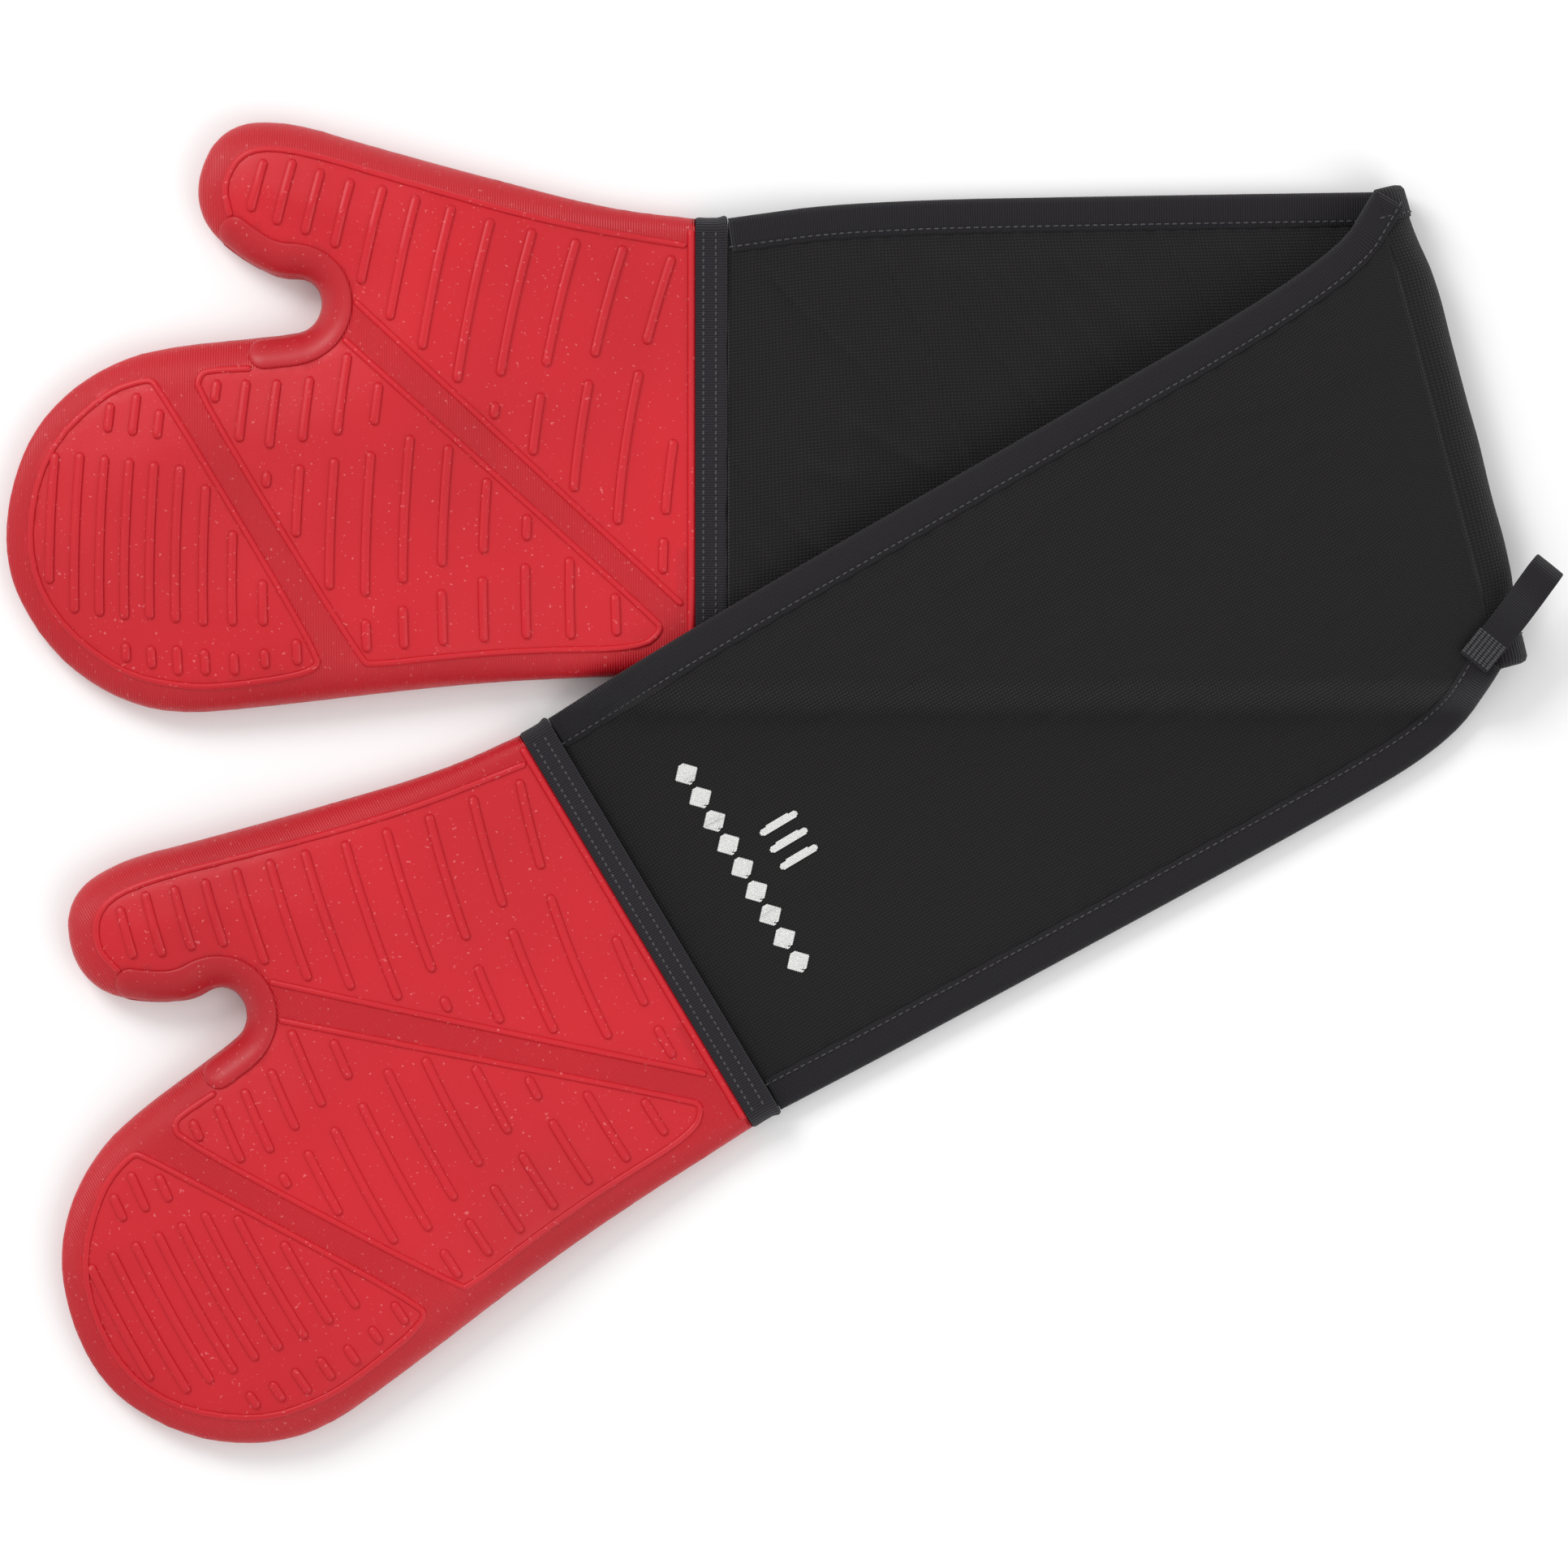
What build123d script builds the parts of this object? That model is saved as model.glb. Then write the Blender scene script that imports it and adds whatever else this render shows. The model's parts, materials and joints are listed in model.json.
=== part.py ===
"""Double oven glove: two silicone mitts joined by one long padded canvas band.

The glove lies flat with its band folded over itself. The "under" arm of the band and the
under mitt lie on the table. The "over" arm comes back over them to the over mitt.
The origin is under the middle of the under mitt's palm, on the table. X runs along the under
arm towards the fold, Y towards its thumb side, Z up. Millimetres.
Face 1 of the band is inside the fold, and face 2, where the hands go in, is outside it.
"""

import os
from math import cos, pi, sin

from build123d import *

# ---- driving dimensions ----
# Mitt
RIM_WIDTH = 139.0
RIM_HEIGHT = 11.0
PALM_HEIGHT = 20.0
TIP_HEIGHT = 10.0
SILICONE = 1.6
LINING = 1.2
OUTLINE_ROUND = 3.5
# Cuff
CUFF_LENGTH = 9.5
CUFF_WALL = 1.5
CUFF_ROUND = 5.0
STITCH = (2.4, 0.8, 0.35)
STITCH_PITCH = 4.2
# Band
CANVAS = 0.8
WADDING = 3.4
BINDING = 0.8
BINDING_WIDTH = 10.5
SEAM_GAP = 0.3
# Layout on the table
UNDER_RIM = (109.25, 13.9)
OVER_RIM = (91.25, -133.9)
OVER_MITT_TURN = 30.8
FOLD_TOP = (315.8, 91.6)
FOLD_BOTTOM = (354.2, -54.1)
CLEARANCE_OVER = 1.2
RAMP_START = 10.0
UNDER_RAMP = 40.0
STEP_TOP_Y = -56.0
STEP_RUN = 13.0
# Hanging loop
LOOP_TURN = 51.3
LOOP_TAPE = 1.2
LOOP_WIDTH = 10.0
LOOP_LENGTH = 38.0
LOOP_EYE = (18.0, 7.6)
LOOP_FROM_EDGE = 4.0
LOOP_FROM_FOLD = 8.0
TACK_FROM_ROOT = (2.0, 8.0)
TACK_STITCHES = 8
# Emblem
EMBLEM_DEPTH = 0.4
EMBLEM_FROM_RIM = 37.5
EMBLEM_LENGTH = 75.0

# ---- worked out from them ----
BAND = CANVAS + WADDING + CANVAS
BAND_OVERALL = BAND + 2 * BINDING
UNDER_CUFF_Z = RIM_HEIGHT - BAND_OVERALL
OVER_LEVEL = RIM_HEIGHT + CLEARANCE_OVER
FOLD_OUTER = (OVER_LEVEL + BAND_OVERALL) / 2
FOLD_LENGTH = (Vector(*FOLD_TOP) - Vector(*FOLD_BOTTOM)).length
BAND_START = CUFF_LENGTH + SEAM_GAP
TALL = 60.0
FAR = 700.0

# Mitt outline past the rim: (distance from the rim, towards the thumb)
MITT_OUTLINE = [
    (0, 69.5), (41, 75.8), (82, 86.8), (119.5, 97.8), (139, 98.3), (149.4, 88.6),
    (151, 71), (141, 59), (126.3, 50.8), (115, 48), (114.3, 40), (120.8, 34.4),
    (147, 31.6), (175, 26.8), (197.3, 11.3), (209.2, -13.5), (210, -36.7), (202.8, -55),
    (186.8, -70.9), (159.8, -81.9), (111, -76.9), (51, -71.1), (0, -69.5),
]

# Long edges of the two arms, from the cuff to the fold
UNDER_THUMB_EDGE = [(UNDER_RIM[0] + BAND_START, 83.4), (158.5, 88.9), FOLD_TOP]
UNDER_LOOP_EDGE = [(UNDER_RIM[0] + BAND_START, -55.6), (200, -56.6), FOLD_BOTTOM]


def turned(point, degrees_turned, origin):
    """A local point turned about Z and moved to the origin."""
    a = degrees_turned * pi / 180
    x = point[0] * cos(a) - point[1] * sin(a) + origin[0]
    y = point[0] * sin(a) + point[1] * cos(a) + origin[1]
    return (x, y)


OVER_THUMB_EDGE = [
    turned((BAND_START, RIM_WIDTH / 2), OVER_MITT_TURN, OVER_RIM), (111, -39.9), (300, 68), FOLD_TOP,
]
OVER_LOOP_EDGE = [
    turned((BAND_START, -RIM_WIDTH / 2), OVER_MITT_TURN, OVER_RIM), (173.5, -168.6), (298.5, -101.1),
    (341, -74), FOLD_BOTTOM,
]


def under_heights():
    """Underside of the under arm along X: level with the cuff's top, then down to the table."""
    start = UNDER_RIM[0] + BAND_START
    return [(start - 1, UNDER_CUFF_Z), (start + RAMP_START, UNDER_CUFF_Z),
            (start + RAMP_START + UNDER_RAMP, 0), (FOLD_BOTTOM[0] + 1, 0)]


def over_heights():
    """Underside of the over arm along Y: on the table, then up over the under arm."""
    low_end = OVER_RIM[1] - RIM_WIDTH
    return [(low_end, 0), (STEP_TOP_Y - STEP_RUN, 0), (STEP_TOP_Y, OVER_LEVEL),
            (FOLD_TOP[1] + 1, OVER_LEVEL)]


def slab(heights, across, rise, thickness):
    """A sheet bent to a line of heights, which runs straight across the other way."""
    low = [(along, z + rise) for along, z in heights]
    high = [(along, z + rise + thickness) for along, z in reversed(heights)]
    with BuildPart() as sheet:
        with BuildSketch(across):
            with BuildLine():
                Polyline(*low, *high, close=True)
            make_face()
        extrude(amount=FAR, both=True)
    return sheet.part


def arm_outline(thumb_edge, loop_edge):
    """Plan of one arm, bounded by its two long edges, its cuff end and the fold line."""
    with BuildSketch() as plan:
        with BuildLine():
            Polyline(*thumb_edge, *reversed(loop_edge), close=True)
        make_face()
    return plan.sketch


def edge_strip(edge, width):
    """A strip that reaches the given width to both sides of an edge of the band."""
    with BuildSketch() as strip:
        with BuildLine():
            Polyline(*edge)
        trace(line_width=2 * width)
    return strip.sketch


def band_layer(height, across, thumb_edge, loop_edge, rise, thickness):
    """One layer of an arm: a draped sheet, cut to the plan less the tape's thickness."""
    with BuildPart() as layer:
        add(slab(height, across, rise, thickness))
        with BuildSketch(mode=Mode.PRIVATE) as plan:
            add(arm_outline(thumb_edge, loop_edge))
            add(edge_strip(thumb_edge, BINDING), mode=Mode.SUBTRACT)
            add(edge_strip(loop_edge, BINDING), mode=Mode.SUBTRACT)
        extrude(plan.sketch, amount=TALL, mode=Mode.INTERSECT)
    return layer


def band_binding(height, across, thumb_edge, loop_edge, edge):
    """Folded tape along one long edge: a channel that the band's layers sit in."""
    with BuildPart() as tape:
        add(slab(height, across, 0, BAND_OVERALL))
        with BuildSketch(mode=Mode.PRIVATE) as strip:
            add(arm_outline(thumb_edge, loop_edge))
            add(edge_strip(edge, BINDING_WIDTH), mode=Mode.INTERSECT)
        extrude(strip.sketch, amount=TALL, mode=Mode.INTERSECT)
        with BuildPart(mode=Mode.PRIVATE) as channel:
            add(slab(height, across, BINDING, BAND))
            with BuildSketch(mode=Mode.PRIVATE) as inner:
                add(arm_outline(thumb_edge, loop_edge))
                add(edge_strip(edge, BINDING), mode=Mode.SUBTRACT)
            extrude(inner.sketch, amount=TALL, mode=Mode.INTERSECT)
        add(channel.part, mode=Mode.SUBTRACT)
    return tape


FOLD_DIRECTION = (Vector(*FOLD_TOP) - Vector(*FOLD_BOTTOM)).normalized()
FOLD_OUTWARD = Vector(FOLD_DIRECTION.Y, -FOLD_DIRECTION.X, 0)


def fold_layer(inner, outer, start, length):
    """A half ring about the fold's axis, from start along the fold line."""
    origin = Vector(*FOLD_BOTTOM) + FOLD_DIRECTION * start + Vector(0, 0, FOLD_OUTER)
    with BuildPart() as layer:
        with BuildSketch(Plane(origin=origin, x_dir=FOLD_OUTWARD, z_dir=FOLD_DIRECTION)):
            Circle(outer)
            Circle(inner, mode=Mode.SUBTRACT)
            Rectangle(outer, 2 * outer, align=(Align.MIN, Align.CENTER), mode=Mode.INTERSECT)
        extrude(amount=length)
    return layer


def fold_binding(start, open_start):
    """The edge tape where it goes round the fold: a half ring with a channel in it."""
    with BuildPart() as tape:
        add(fold_layer(FOLD_OUTER - BAND_OVERALL, FOLD_OUTER, start, BINDING_WIDTH).part)
        channel = fold_layer(FOLD_OUTER - BINDING - BAND, FOLD_OUTER - BINDING,
                             open_start, BINDING_WIDTH - BINDING)
        add(channel.part, mode=Mode.SUBTRACT)
    return tape


def mitt_blank(plane, inset):
    """The mitt's outer form, made smaller all round by a wall, and open past its rim."""
    past_rim = 2.0 if inset else 0.0
    reach = max(u for u, v in MITT_OUTLINE) + 10
    with BuildPart() as blank:
        with BuildSketch(plane):
            with BuildLine():
                Polyline(*[(-u, v) for u, v in MITT_OUTLINE], close=True)
            make_face()
            fillet(vertices().sort_by(Axis.X)[:-2], OUTLINE_ROUND)
            if inset:
                offset(amount=-inset, kind=Kind.INTERSECTION)
        extrude(amount=TALL)
        if inset:
            with BuildSketch(plane):
                with Locations((-3 * inset, 0)):
                    Rectangle(3 * inset + past_rim, RIM_WIDTH - 2 * inset,
                              align=(Align.MIN, Align.CENTER))
            extrude(amount=TALL)
        side = Plane(origin=plane.origin, x_dir=plane.x_dir, z_dir=-plane.y_dir)
        with BuildSketch(side):
            with BuildLine():
                Polyline((-reach, inset), (-reach, TIP_HEIGHT - inset), (-160, 17 - inset),
                         (-110, PALM_HEIGHT - inset), (-75, PALM_HEIGHT - inset),
                         (-20, RIM_HEIGHT - inset), (past_rim, RIM_HEIGHT - inset),
                         (past_rim, inset), close=True)
            make_face()
        extrude(amount=FAR, both=True, mode=Mode.INTERSECT)
    return blank


def mitt_shell(plane):
    """One-piece silicone moulding, open at the rim."""
    with BuildPart() as shell:
        add(mitt_blank(plane, 0).part)
        add(mitt_blank(plane, SILICONE).part, mode=Mode.SUBTRACT)
    return shell


def mitt_lining(plane):
    """Cloth lining against the inside of the silicone."""
    with BuildPart() as lining:
        add(mitt_blank(plane, SILICONE).part)
        add(mitt_blank(plane, SILICONE + LINING).part, mode=Mode.SUBTRACT)
        past_rim = Plane(origin=plane.origin, x_dir=plane.y_dir, z_dir=plane.x_dir)
        with BuildSketch(past_rim):
            Rectangle(3 * RIM_WIDTH, 3 * TALL)
        extrude(amount=TALL, mode=Mode.SUBTRACT)
    return lining


def cuff_section(plane):
    """Plane across the mouth of a mitt, looking along the band."""
    return Plane(origin=plane.origin, x_dir=plane.y_dir, z_dir=plane.x_dir)


def cuff_tape(plane):
    """Flattened tube of binding tape that carries on from the rim."""
    with BuildPart() as tape:
        with BuildSketch(cuff_section(plane)):
            with Locations((0, RIM_HEIGHT / 2)):
                RectangleRounded(RIM_WIDTH, RIM_HEIGHT, CUFF_ROUND)
                RectangleRounded(RIM_WIDTH - 2 * CUFF_WALL, RIM_HEIGHT - 2 * CUFF_WALL,
                                 CUFF_ROUND - CUFF_WALL, mode=Mode.SUBTRACT)
        extrude(amount=CUFF_LENGTH)
    return tape


def cuff_stitching(plane):
    """Two rows of stitches on the upper face of the cuff tape."""
    count = int((RIM_WIDTH - 4 * CUFF_ROUND) / STITCH_PITCH)
    with BuildPart() as stitching:
        with Locations(plane.offset(RIM_HEIGHT)):
            with Locations((CUFF_LENGTH / 2, 0)):
                with GridLocations(CUFF_LENGTH * 0.44, STITCH_PITCH, 2, count):
                    Box(STITCH[1], STITCH[0], STITCH[2],
                        align=(Align.CENTER, Align.CENTER, Align.MIN))
    return stitching


LOOP_ROOT = Vector(*FOLD_BOTTOM) + FOLD_DIRECTION * LOOP_FROM_EDGE - FOLD_OUTWARD * LOOP_FROM_FOLD
LOOP_ALONG = Vector(cos(LOOP_TURN * pi / 180), sin(LOOP_TURN * pi / 180), 0)
LOOP_LEVEL = OVER_LEVEL + BAND_OVERALL + SEAM_GAP


def hanging_loop():
    """Doubled tape whose legs are pressed together at the root and open into an eye."""
    side = Plane(origin=(LOOP_ROOT.X, LOOP_ROOT.Y, LOOP_LEVEL), x_dir=LOOP_ALONG,
                 z_dir=(LOOP_ALONG.Y, -LOOP_ALONG.X, 0))
    eye_centre = LOOP_LENGTH - LOOP_TAPE - LOOP_EYE[0] / 2
    half_eye = LOOP_EYE[1] / 2
    with BuildPart() as loop:
        with BuildSketch(side):
            with Locations((eye_centre, half_eye + LOOP_TAPE)):
                SlotOverall(LOOP_EYE[0] + 2 * LOOP_TAPE, LOOP_EYE[1] + 2 * LOOP_TAPE)
            Rectangle(eye_centre, 2 * LOOP_TAPE, align=(Align.MIN, Align.MIN))
            with Locations((eye_centre, half_eye + LOOP_TAPE)):
                SlotOverall(LOOP_EYE[0], LOOP_EYE[1], mode=Mode.SUBTRACT)
        extrude(amount=LOOP_WIDTH / 2, both=True)
    return loop


def bar_tack():
    """Dense stitches that hold the root of the loop to the band's corner."""
    top = Plane(origin=(LOOP_ROOT.X, LOOP_ROOT.Y, LOOP_LEVEL + 2 * LOOP_TAPE),
                x_dir=LOOP_ALONG, z_dir=(0, 0, 1))
    with BuildPart() as tack:
        with Locations(top):
            for from_root in TACK_FROM_ROOT:
                with Locations((from_root, 0, 0)):
                    with GridLocations(1, LOOP_WIDTH * 0.11, 1, TACK_STITCHES):
                        Box(STITCH[1] * 2.5, STITCH[1], STITCH[2],
                            align=(Align.CENTER, Align.CENTER, Align.MIN))
    return tack


def emblem():
    """Generic embroidered motif: a row of diamonds along the cuff and three short bars."""
    rise = BINDING + BAND
    count = 9
    pitch = EMBLEM_LENGTH / count
    with BuildPart() as motif:
        add(slab(over_heights(), Plane.YZ, rise, EMBLEM_DEPTH))
        with BuildSketch(Plane(origin=(*OVER_RIM, 0), x_dir=OVER_PLANE.x_dir,
                               z_dir=(0, 0, 1)), mode=Mode.PRIVATE) as shapes:
            with Locations((EMBLEM_FROM_RIM, 0)):
                with GridLocations(1, pitch, 1, count):
                    RegularPolygon(3.4, 4)
            with Locations((EMBLEM_FROM_RIM + 16, 0)):
                with GridLocations(1, 6, 1, 3):
                    SlotOverall(12, 2)
        extrude(shapes.sketch, amount=TALL, mode=Mode.INTERSECT)
    return motif


UNDER_PLANE = Plane(origin=(*UNDER_RIM, 0), x_dir=(1, 0, 0), z_dir=(0, 0, 1))
OVER_PLANE = Plane(origin=(*OVER_RIM, 0),
                   x_dir=(cos(OVER_MITT_TURN * pi / 180), sin(OVER_MITT_TURN * pi / 180), 0),
                   z_dir=(0, 0, 1))

os.makedirs("parts", exist_ok=True)


def write(block, name):
    """Labels a finished piece and writes it to its own file."""
    block.part.label = name
    export_step(block.part, f"parts/{name}.step")


# Face 2 is below on the under arm and above on the over arm.
ARMS = {
    "under_arm": (under_heights(), Plane.XZ, UNDER_THUMB_EDGE, UNDER_LOOP_EDGE, False),
    "over_arm": (over_heights(), Plane.YZ, OVER_THUMB_EDGE, OVER_LOOP_EDGE, True),
}
for arm, (height, across, thumb_edge, loop_edge, face_2_up) in ARMS.items():
    low_name, high_name = ("inner", "outer") if face_2_up else ("outer", "inner")
    shape = (height, across, thumb_edge, loop_edge)
    write(band_layer(*shape, BINDING, CANVAS), f"{arm}_{low_name}_canvas")
    write(band_layer(*shape, BINDING + CANVAS, WADDING), f"{arm}_wadding")
    write(band_layer(*shape, BINDING + CANVAS + WADDING, CANVAS), f"{arm}_{high_name}_canvas")
    write(band_binding(*shape, thumb_edge), f"{arm}_binding_thumb_side")
    write(band_binding(*shape, loop_edge), f"{arm}_binding_loop_side")

outside = FOLD_OUTER - BINDING
inner_length = FOLD_LENGTH - 2 * BINDING
write(fold_layer(outside - CANVAS, outside, BINDING, inner_length), "fold_outer_canvas")
write(fold_layer(outside - CANVAS - WADDING, outside - CANVAS, BINDING, inner_length),
      "fold_wadding")
write(fold_layer(outside - BAND, outside - CANVAS - WADDING, BINDING, inner_length),
      "fold_inner_canvas")
write(fold_binding(0, BINDING), "fold_binding_loop_side")
write(fold_binding(FOLD_LENGTH - BINDING_WIDTH, FOLD_LENGTH - BINDING_WIDTH),
      "fold_binding_thumb_side")

for mitt, plane in (("under_mitt", UNDER_PLANE), ("over_mitt", OVER_PLANE)):
    write(mitt_shell(plane), f"{mitt}_shell")
    write(mitt_lining(plane), f"{mitt}_lining")
    write(cuff_tape(plane), f"{mitt}_cuff_tape")
    write(cuff_stitching(plane), f"{mitt}_cuff_stitching")

write(hanging_loop(), "hanging_loop")
write(bar_tack(), "loop_bar_tack")
write(emblem(), "emblem")
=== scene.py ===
"""Looks of the double oven glove, built around its CAD frame.

Each mitt and each arm of the band is made in its own flat coordinates in millimetres: u runs
from a mitt's rim to its fingertips, and v towards its thumb. They are then laid in the frame.
"""

import json
import math

import bmesh
import bpy
import numpy as np
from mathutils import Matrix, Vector, geometry, noise


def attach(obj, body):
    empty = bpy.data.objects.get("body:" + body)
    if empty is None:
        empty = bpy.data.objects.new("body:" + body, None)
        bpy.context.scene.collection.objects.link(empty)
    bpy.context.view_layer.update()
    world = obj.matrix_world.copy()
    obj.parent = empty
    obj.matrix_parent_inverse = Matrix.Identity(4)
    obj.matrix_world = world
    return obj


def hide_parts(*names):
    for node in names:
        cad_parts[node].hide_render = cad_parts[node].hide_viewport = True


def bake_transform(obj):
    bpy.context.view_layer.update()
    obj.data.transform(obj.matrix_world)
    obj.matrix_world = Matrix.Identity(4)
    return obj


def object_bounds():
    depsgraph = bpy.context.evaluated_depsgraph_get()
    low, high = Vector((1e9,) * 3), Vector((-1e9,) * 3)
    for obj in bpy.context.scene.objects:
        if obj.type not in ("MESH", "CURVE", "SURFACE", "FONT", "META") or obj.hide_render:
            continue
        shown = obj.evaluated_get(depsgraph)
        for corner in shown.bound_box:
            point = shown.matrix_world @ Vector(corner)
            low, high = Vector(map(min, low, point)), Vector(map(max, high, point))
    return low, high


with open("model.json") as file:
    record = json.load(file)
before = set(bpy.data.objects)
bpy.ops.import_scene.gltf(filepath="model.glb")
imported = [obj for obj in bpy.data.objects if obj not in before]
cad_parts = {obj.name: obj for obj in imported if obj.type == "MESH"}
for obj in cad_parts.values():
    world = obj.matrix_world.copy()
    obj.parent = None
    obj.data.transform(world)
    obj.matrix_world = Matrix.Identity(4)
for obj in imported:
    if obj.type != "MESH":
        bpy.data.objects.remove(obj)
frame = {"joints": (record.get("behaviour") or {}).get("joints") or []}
cad_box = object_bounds()

MM = 0.001
JOINTS = {joint["name"]: joint for joint in frame["joints"]}

# ---- sizes in millimetres; fingertips and lining differ a little from the CAD's ----
RIM_WIDTH = 139.0
RIM_HEIGHT = 11.0
CUFF_LENGTH = 9.5
SEAM_TO_RIM = 9.65
PALM_HEIGHT = 20.0
TIP_HEIGHT = 13.0
SILICONE = 1.6
LINING = 1.0
BAND_PAD = 5.0
TAPE_OVERALL = 6.6
TAPE_WIDTH = 10.5
BEAD_WIDTH = 2.2
RIB_WIDTH = 2.9
RIB_COUNT = 20
GAP_WIDTH = 5.0
RELIEF_ROOM = 1.3
CUFF_LOW = 0.05
STITCH_LOW = 0.28
FOLD_LOW = 0.1


# ---------------------------------------------------------------- small helpers
def smooth(t):
    """Eased step from 0 to 1."""
    t = np.clip(t, 0.0, 1.0)
    return t * t * (3 - 2 * t)


def chaikin(points, rounds=2, closed=False):
    """Rounds a polyline by cutting its corners."""
    points = [np.array(p, float) for p in points]
    for _ in range(rounds):
        ends = [] if closed else [points[0]]
        pairs = list(zip(points, points[1:] + points[:1])) if closed else list(zip(points, points[1:]))
        cut = [q for a, b in pairs for q in (a * 0.75 + b * 0.25, a * 0.25 + b * 0.75)]
        points = ends + cut + ([] if closed else [points[-1]])
    return points


def resample(points, step, closed=False):
    """Evenly spaced points along a polyline."""
    points = np.array(points, float)
    if closed:
        points = np.vstack([points, points[:1]])
    run = np.concatenate([[0], np.cumsum(np.linalg.norm(np.diff(points, axis=0), axis=1))])
    count = max(int(run[-1] / step), 2)
    at = np.linspace(0, run[-1], count + 1)
    out = np.stack([np.interp(at, run, points[:, k]) for k in range(points.shape[1])], axis=1)
    return out[:-1] if closed else out


def rested(place, low):
    """A place no lower than a height over the table."""
    return np.array([place[0], place[1], max(place[2], low)])


def make_piece(name, verts_mm, faces, material, uvs=None, smooth_shade=True):
    """A mesh object from vertices in millimetres, with optional per-vertex UVs."""
    mesh = bpy.data.meshes.new(name)
    mesh.from_pydata([tuple(v) for v in np.array(verts_mm, float) * MM], [], faces)
    if uvs is not None:
        layer = mesh.uv_layers.new(name="flat")
        loop_vertex = np.zeros(len(mesh.loops), np.int32)
        mesh.loops.foreach_get("vertex_index", loop_vertex)
        layer.data.foreach_set("uv", np.array(uvs, np.float32)[loop_vertex].ravel())
    mesh.polygons.foreach_set("use_smooth", [smooth_shade] * len(mesh.polygons))
    mesh.materials.append(material)
    mesh.validate()
    piece = bpy.data.objects.new(name, mesh)
    bpy.context.scene.collection.objects.link(piece)
    return piece


def apply_modifiers(piece):
    """Turns a piece with live modifiers into a plain mesh."""
    evaluated = piece.evaluated_get(bpy.context.evaluated_depsgraph_get())
    mesh = bpy.data.meshes.new_from_object(evaluated)
    piece.modifiers.clear()
    piece.data = mesh
    return piece


def outward(piece):
    """Recalculates a closed mesh's normals so that they point outwards."""
    work = bmesh.new()
    work.from_mesh(piece.data)
    bmesh.ops.remove_doubles(work, verts=work.verts, dist=1e-7)
    bmesh.ops.recalc_face_normals(work, faces=work.faces)
    work.to_mesh(piece.data)
    work.free()
    return piece


def sweep(name, frames, section, material):
    """Sweeps a closed section along frames of (place, first axis, second axis), with caps."""
    verts, faces, uvs = [], [], []
    count = len(section)
    run = 0.0
    girth = np.cumsum([0] + [math.dist(section[k], section[(k + 1) % count]) for k in range(count)])
    for i, (place, first, second) in enumerate(frames):
        if i:
            run += float(np.linalg.norm(np.array(place) - np.array(frames[i - 1][0])))
        for k, (a, b) in enumerate(section):
            verts.append(np.array(place) + np.array(first) * a + np.array(second) * b)
            uvs.append((run / 10, girth[k] / 10))
    for i in range(len(frames) - 1):
        for k in range(count):
            n = (k + 1) % count
            faces.append((i * count + k, i * count + n, (i + 1) * count + n, (i + 1) * count + k))
    faces.append(tuple(range(count))[::-1])
    faces.append(tuple((len(frames) - 1) * count + k for k in range(count)))
    return outward(make_piece(name, verts, faces, material, uvs))


def join(name, pieces):
    """Joins pieces of one material into one object."""
    bpy.ops.object.select_all(action="DESELECT")
    for piece in pieces:
        piece.select_set(True)
    bpy.context.view_layer.objects.active = pieces[0]
    if len(pieces) > 1:
        bpy.ops.object.join()
    pieces[0].name = name
    pieces[0].data.name = name
    return pieces[0]


# ---------------------------------------------------------------- materials
def new_material(name, colour, roughness):
    """A Principled material, its tree and its shader node."""
    material = bpy.data.materials.new(name)
    material.use_nodes = True
    tree = material.node_tree
    shader = tree.nodes["Principled BSDF"]
    shader.inputs["Base Color"].default_value = (*colour, 1)
    shader.inputs["Roughness"].default_value = roughness
    return material, tree, shader


def wave(tree, uv, direction, pitch, distortion=0.4):
    """Parallel lines at a pitch in millimetres, on a UV map of one unit per centimetre."""
    node = tree.nodes.new("ShaderNodeTexWave")
    node.bands_direction = direction
    node.inputs["Scale"].default_value = math.pi / pitch
    node.inputs["Distortion"].default_value = distortion
    node.inputs["Detail"].default_value = 1.0
    node.inputs["Detail Scale"].default_value = 0.6
    tree.links.new(uv, node.inputs["Vector"])
    return node.outputs["Fac"]


def speckle(tree, coordinates, scale, detail=3.0):
    """Noise on the given coordinates."""
    node = tree.nodes.new("ShaderNodeTexNoise")
    node.inputs["Scale"].default_value = scale
    node.inputs["Detail"].default_value = detail
    tree.links.new(coordinates, node.inputs["Vector"])
    return node.outputs["Fac"]


def arithmetic(tree, operation, first, second):
    """A Math node between two sockets or numbers."""
    node = tree.nodes.new("ShaderNodeMath")
    node.operation = operation
    for socket, value in zip(node.inputs, (first, second)):
        if isinstance(value, (int, float)):
            socket.default_value = value
        else:
            tree.links.new(value, socket)
    return node.outputs[0]


def ramp(tree, factor, stops):
    """A colour ramp with (position, colour) stops."""
    node = tree.nodes.new("ShaderNodeValToRGB")
    node.color_ramp.elements[0].position = stops[0][0]
    node.color_ramp.elements[0].color = (*stops[0][1], 1)
    node.color_ramp.elements[1].position = stops[-1][0]
    node.color_ramp.elements[1].color = (*stops[-1][1], 1)
    for position, colour in stops[1:-1]:
        node.color_ramp.elements.new(position).color = (*colour, 1)
    tree.links.new(factor, node.inputs["Fac"])
    return node.outputs["Color"]


def bump(tree, shader, height, depth, strength=1.0):
    """Bump from a height socket, with its depth in millimetres."""
    node = tree.nodes.new("ShaderNodeBump")
    node.inputs["Distance"].default_value = depth * MM
    node.inputs["Strength"].default_value = strength
    tree.links.new(height, node.inputs["Height"])
    tree.links.new(node.outputs["Normal"], shader.inputs["Normal"])


def coordinates(tree, output):
    """A Texture Coordinate output."""
    return tree.nodes.new("ShaderNodeTexCoord").outputs[output]


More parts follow.
